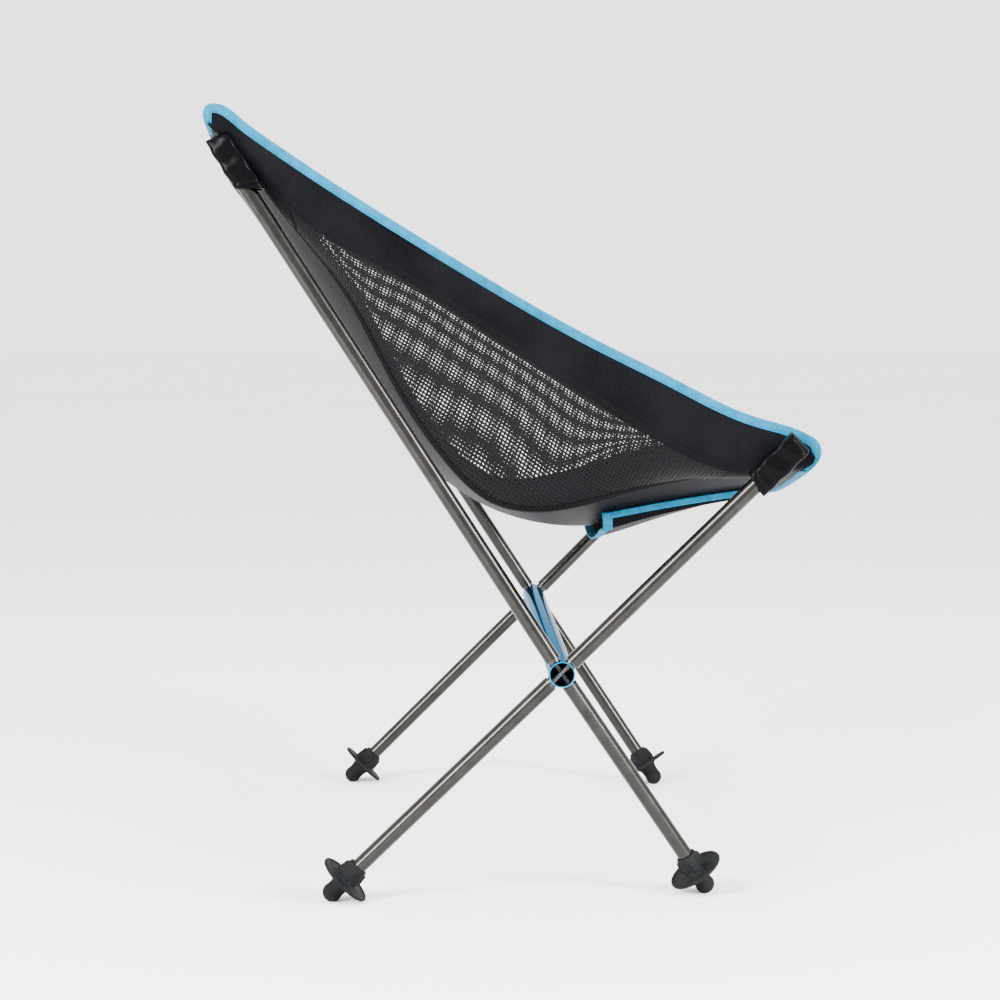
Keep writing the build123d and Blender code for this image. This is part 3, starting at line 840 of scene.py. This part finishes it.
def poleSleeve(name, look, tip, side, node, material):
    hubEnd, tipEnd = np.array(hubPoint), np.array(tip)
    axis = (tipEnd - hubEnd) / np.linalg.norm(tipEnd - hubEnd)
    wide = np.array([1.0, 0, 0]) - axis * axis[0]
    wide = wide / np.linalg.norm(wide)
    tall = np.cross(axis, wide)
    far = look["beforeTipMm"] + look["pastTipMm"]
    mouth = tipEnd - axis * look["beforeTipMm"] * mm
    outer, inner = sleeveRings(look)
    rings = np.concatenate([inner, outer])
    count = 72
    turn = np.arange(count) / count * 2 * math.pi
    cos, sin = np.cos(turn)[None], np.sin(turn)[None]
    radius = (np.abs(cos) ** rings[:, 3:] + np.abs(sin) ** rings[:, 3:]) ** (-1 / rings[:, 3:])
    # slack cloth creases across the sleeve, and its closed end leans towards the sling
    crease = sleeveLook["creaseMm"] * np.sin(rings[:, :1] * 0.33 + 2 * sin + cos)
    crease = crease * np.clip(rings[:, :1] / 12, 0, 1) * np.clip((far - rings[:, :1]) / 8, 0, 1)
    lean = -(8.6 - np.minimum(rings[:, 1:2], 8.6)) * sleeveLook["lean"] * (rings[:, :1] > far - 10)
    x = (rings[:, 1:2] + crease) * radius * cos + lean
    y = (rings[:, 2:3] + crease * 0.6) * radius * sin
    # the mouth and the closed end are cut at a slant to the pole
    slant = np.interp(rings[:, :1], [0, far], [look["mouthSlant"], look["endSlant"]])
    z = rings[:, :1] + slant * y
    y = y + look["shiftMm"]
    points = mouth + (axis * z[..., None] + wide * x[..., None] + tall * y[..., None]) * mm
    faces = gridFaces(len(rings), count, wrapColumns=True)
    faces = faces.tolist() + [list(range(count)),
                              list(range((len(rings) - 1) * count, len(rings) * count))[::-1]]
    uv = np.stack(np.broadcast_arrays(rings[:, :1] * mm, turn[None] * 9 * mm), -1)
    if side < 0:
        points[..., 0] *= -1
        faces = [face[::-1] for face in faces]
    piece = addPiece(name, points, faces, material, "sling", uv)
    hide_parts(node)
    # a box stitch round the hem of the mouth
    ring = points[len(inner) + np.argmin(np.abs(outer[:, 0] - sleeveLook["hemMm"]))]
    centre = ring.mean(0)
    outward = (ring - centre) / np.linalg.norm(ring - centre, axis=1, keepdims=True)
    closed = np.concatenate([ring, ring[:1]])
    frameIn = pathFrame(closed, np.concatenate([outward, outward[:1]]))
    stitches(name + "Stitches", frameIn, [(0, 0.1 * mm)], blackThread, pitchMm=2.6, lengthMm=1.9)
    return piece


for side, word in ((1, "left"), (-1, "right")):
    for end in ("front", "rear"):
        poleSleeve(end + "PoleSleeve_" + word, sleeveLook[end], poleTips[end], side,
                   end + "_pole_pocket_" + word, sleeveMaterial)
print("pole sleeves made")


# storage pouch
pouchLook = dict(halfWidth=0.15, front=0.945, rear=0.737, drop=7.5, belly=3.5, bandMm=6.4, gapMm=1.4,
                 gussetMm=7.6, underMm=0.8)


def pouchFloor(back, sideways):
    # back is 0 at the front seam and 1 at the open rear edge; sideways from -1 to 1
    back, sideways = np.broadcast_arrays(np.asarray(back, float), np.asarray(sideways, float))
    share = pouchLook["front"] + (pouchLook["rear"] - pouchLook["front"]) * back
    across = np.abs(sideways) * pouchLook["halfWidth"] / slingPoint(share, 0.9999)[..., 0]
    above = slingPoint(share, across)
    drop = pouchLook["gapMm"] + pouchLook["drop"] * back**2 + pouchLook["belly"] * back * (1 - sideways**2)
    drop = drop + pouchLook["gussetMm"] * np.abs(sideways) ** 10
    above[..., 0] *= np.where(sideways < 0, -1, 1)
    above[..., 2] -= drop * mm
    return above


def pouch():
    depth = (pouchLook["front"] - pouchLook["rear"]) * slingTables["middle"][1]
    width = 2 * pouchLook["halfWidth"]

    def place(along, down):
        return pouchFloor(along / depth, down / width * 2 - 1)

    def inside(along, down):
        return (along < depth - 3 * mm) & (down > 3 * mm) & (down < width - 3 * mm)

    net = netMesh("pouchNet", place, inside, depth, width, netMaterial, ["storage_pouch"])
    # the open rear edge, bound with ribbed tape that also goes up both gussets to the seat
    v = np.linspace(1, -1, 160)
    edge = pouchFloor(np.full(160, 1.0), v)
    leg = np.linspace(1, 0, 12)[:-1, None]
    tall = pouchLook["gapMm"] + pouchLook["drop"] + pouchLook["gussetMm"] - pouchLook["underMm"]
    rise = np.array([0, 0, tall]) * mm
    point = np.concatenate([edge[:1] + leg * rise, edge, edge[-1:] + leg[::-1] * rise])
    forward = pouchFloor(np.full(160, 0.93), v) - edge
    inward = np.concatenate([np.repeat(forward[:1], 11, 0), forward, np.repeat(forward[-1:], 11, 0)])
    tangent = np.gradient(point, axis=0)
    tangent = tangent / np.linalg.norm(tangent, axis=1, keepdims=True)
    inward = inward - tangent * (inward * tangent).sum(1, keepdims=True)
    inward = inward / np.linalg.norm(inward, axis=1, keepdims=True)
    rear = dict(point=point, tangent=tangent, inward=inward, normal=np.cross(inward, tangent))
    carried("pouchRearBinding", rear, tapeProfile(8.5), tapeMaterial, ["pouch_rear_binding"])
    stitches("pouchRearBindingStitches", rear, [(6.4 * mm, 0.68 * mm), (6.4 * mm, -0.68 * mm)], blueThread)
    # each side is a net gusset that hangs from a standing band of the same tape, sewn under the seat
    for side, word in ((1, "left"), (-1, "right")):
        u = np.linspace(0.0, 1.0, 90)[::side]
        low = pouchFloor(u, np.full(90, float(side)))
        high = low.copy()
        share = pouchLook["front"] + (pouchLook["rear"] - pouchLook["front"]) * u
        seat = slingPoint(share, pouchLook["halfWidth"] / slingPoint(share, 0.9999)[..., 0])[..., 2]
        high[:, 2] = seat - pouchLook["underMm"] * mm
        wall = low[:, None] + (high - low)[:, None] * np.linspace(0, 1, 8)[None, :, None]
        gusset = addPiece("pouchGusset_" + word, wall, gridFaces(90, 8), gussetMaterial, "sling",
                          clothUv(wall))
        thicken(gusset, netLook["yarnMm"] * mm)
        upward = np.tile([-0.1 * side, 0.0, 1.0], (90, 1))
        upward = upward / np.linalg.norm(upward, axis=1, keepdims=True)
        tangent = np.gradient(high, axis=0)
        tangent = tangent / np.linalg.norm(tangent, axis=1, keepdims=True)
        outward = np.cross(upward, tangent)
        outward = outward / np.linalg.norm(outward, axis=1, keepdims=True)
        foot = high - [0, 0, pouchLook["bandMm"] * mm]
        band = dict(point=foot, tangent=tangent, inward=np.cross(tangent, outward), normal=outward)
        carried("pouchSideBinding_" + word, band, tapeProfile(pouchLook["bandMm"]), tapeMaterial,
                ["pouch_side_binding_" + word])
        stitches("pouchSideBindingStitches_" + word, band, [(4.8 * mm, 0.8 * mm)], blueThread)
    return net


pouch()
print("pouch made")


# feet
footLook = dict(ballMm=8.2, discMm=23.5, discAboveMm=13.2, discThickMm=3.2, bossMm=10.0, bossTopMm=18.2,
                ribs=8, ribMm=1.0, flatMm=0.45)
footPoints = dict(front=(0.2334, hubY - 0.1224), rear=(0.254, hubY + 0.1879))


def lathe(centre, axis, profile, count=96, ribs=None):
    # a closed profile of (height, radius) turned about an axis; ribs adds to the radius by height and angle
    centre, axis = np.array(centre), np.array(axis)
    wide = np.array([1.0, 0, 0]) - axis * axis[0]
    wide = wide / np.linalg.norm(wide)
    tall = np.cross(axis, wide)
    turn = np.arange(count) / count * 2 * math.pi
    height, radius = profile[:, :1] * mm, np.repeat(profile[:, 1:2], count, 1) * mm
    if ribs is not None:
        radius = radius + ribs(profile[:, :1], turn[None]) * mm
    points = (centre + axis * height[..., None] + wide * (radius * np.cos(turn))[..., None]
              + tall * (radius * np.sin(turn))[..., None])
    faces = gridFaces(len(profile), count, wrapColumns=True)
    return points, faces, count


def footPieces(end, side, word):
    x, y = footPoints[end]
    foot = np.array([x * side, y, (footLook["ballMm"] - footLook["flatMm"]) * mm])
    hub = np.array([hubPoint[0] * side, hubPoint[1], hubPoint[2]])
    axis = (hub - foot) / np.linalg.norm(hub - foot)
    body = end + "_leg_" + word
    r, low = footLook["ballMm"], footLook["discAboveMm"]
    # thimble-shaped tip: a round end, a slight waist, and a flare under the disc
    turn = np.linspace(-math.pi / 2 + 0.05, 0, 22)
    ball = np.stack([r * np.sin(turn), r * np.cos(turn)], 1)
    neckHeight = np.linspace(0.8, low, 16)
    part = neckHeight / low
    waist = 0.55 * np.sin(np.clip(part / 0.7, 0, 1) * math.pi)
    flare = 3.6 * np.clip((part - 0.7) / 0.3, 0, 1) ** 2.2
    neck = np.stack([neckHeight, r - waist + flare], 1)
    profile = np.concatenate([ball, neck])
    points, faces, count = lathe(foot, axis, profile)
    points[..., 2] = np.maximum(points[..., 2], 0)
    faces = faces.tolist() + [list(range(count)),
                              list(range((len(profile) - 1) * count, len(profile) * count))[::-1]]
    piece = addPiece(end + "FootTip_" + word, points, faces, rubberMaterial, body)
    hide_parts(end + "_foot_ball_" + word)
    # disc with a raised rim and a ribbed boss round the leg
    rim, top, boss = footLook["discMm"], low + footLook["discThickMm"], footLook["bossMm"]
    bossTop = top + footLook["bossTopMm"]
    discOutline = [(low, 8.0), (low - 0.1, 12.0), (low + 0.3, 18.0), (low + 0.25, rim - 2.2),
                   (low + 0.1, rim - 1.0), (low + 0.5, rim - 0.3), (low + 1.3, rim), (top - 1.2, rim),
                   (top - 0.5, rim - 0.3), (top - 0.1, rim - 1.0), (top - 0.2, rim - 2.4),
                   (top - 0.7, rim - 3.4), (top - 0.6, 16.0), (top - 0.1, 13.0), (top + 1.0, boss + 1.0),
                   (top + 2.5, boss + 0.2), (bossTop - 4.5, boss - 1.3), (bossTop - 3.6, boss - 1.8),
                   (bossTop - 3.2, boss - 2.6), (bossTop - 3.4, 6.7), (top + 8, 6.62), (low + 1, 6.6)]
    discOutline = np.array(discOutline)
    length = lengths(discOutline)
    fine = resample(discOutline, length, np.unique(np.concatenate([np.linspace(0, length[-1], 150), length])))

    def ribs(height, angle):
        gate = np.clip((height - top - 1.0) / 1.5, 0, 1) * np.clip((bossTop - 5.5 - height) / 1.0, 0, 1)
        outside = (fine[:, 1:2] > 7.5)
        wave = np.clip(np.cos(angle * footLook["ribs"]), 0, 1) ** 1.5
        return gate * outside * wave * footLook["ribMm"] * 1.6

    points, faces, count = lathe(foot, axis, fine, 128, ribs)
    points[..., 2] = np.maximum(points[..., 2], 0)
    joined = gridFaces(len(fine), count, wrapRows=True, wrapColumns=True)
    piece = addPiece(end + "FootDisc_" + word, points, joined, rubberMaterial, body)
    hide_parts(end + "_foot_disc_" + word)


for side, word in ((1, "left"), (-1, "right")):
    for end in ("front", "rear"):
        footPieces(end, side, word)
print("feet made")


# light, floor and camera
studio = dict(world="#ffffff", worldStrength=2.8, keyWatts=260, fillWatts=220, topWatts=25)


def floorMaterial():
    material, tree, surface = newMaterial("studioFloor", {"Roughness": 0.8, "Specular IOR Level": 0.1})
    cloud = addNode(tree, "ShaderNodeTexNoise", {"Scale": 0.6}, {"Vector": objectCoords(tree)})
    colour = ramp(tree, cloud.outputs[0], [(0.0, "#f2f2f2"), (1.0, "#f7f7f7")])
    tree.links.new(colour, surface.inputs["Base Color"])
    return material


def addLight(name, place, target, size, watts, colour="#ffffff"):
    light = bpy.data.lights.new(name, "AREA")
    light.shape, light.size, light.size_y = "RECTANGLE", size[0], size[1]
    light.energy = watts
    light.color = linear(colour)[:3]
    lamp = bpy.data.objects.new(name, light)
    bpy.context.scene.collection.objects.link(lamp)
    lamp.location = place
    lamp.rotation_euler = (Vector(target) - Vector(place)).to_track_quat("-Z", "Y").to_euler()


def studioScene():
    corners = np.array([[-30, -30, 0], [30, -30, 0], [30, 30, 0], [-30, 30, 0]], float)
    mesh = bpy.data.meshes.new("studioFloor")
    mesh.from_pydata(corners.tolist(), [], [[0, 1, 2, 3]])
    mesh.materials.append(floorMaterial())
    floor = bpy.data.objects.new("studioFloor", mesh)
    bpy.context.scene.collection.objects.link(floor)
    world = bpy.data.worlds.new("studioWorld")
    world.use_nodes = True
    tree = world.node_tree
    background = tree.nodes["Background"]
    background.inputs[0].default_value = linear(studio["world"])
    background.inputs[1].default_value = studio["worldStrength"]
    bpy.context.scene.world = world
    addLight("key", (-1.6, -2.0, 1.1), (0, 0, 0.3), (0.4, 1.8), studio["keyWatts"])
    addLight("fill", (-1.7, 1.6, 1.4), (0, 0, 0.3), (0.4, 1.8), studio["fillWatts"])
    addLight("top", (0.3, 0.2, 2.6), (0, 0, 0.3), (2.0, 2.0), studio["topWatts"])


cameraFit = dict(place=(-2.1917, 0.0648, 0.4812), yawDeg=1.589, pitchDeg=4.412, focalPx=2382.0)


def addCamera():
    camera = bpy.data.cameras.new("camera")
    camera.sensor_width = 36.0
    camera.lens = cameraFit["focalPx"] / 1000 * 36.0
    camera.clip_end = 100
    item = bpy.data.objects.new("camera", camera)
    bpy.context.scene.collection.objects.link(item)
    item.location = cameraFit["place"]
    yaw, pitch = math.radians(cameraFit["yawDeg"]), math.radians(cameraFit["pitchDeg"])
    look = Vector((math.cos(pitch) * math.cos(yaw), -math.cos(pitch) * math.sin(yaw), -math.sin(pitch)))
    item.rotation_euler = look.to_track_quat("-Z", "Y").to_euler()
    bpy.context.scene.camera = item


studioScene()
addCamera()
print("scene ready")
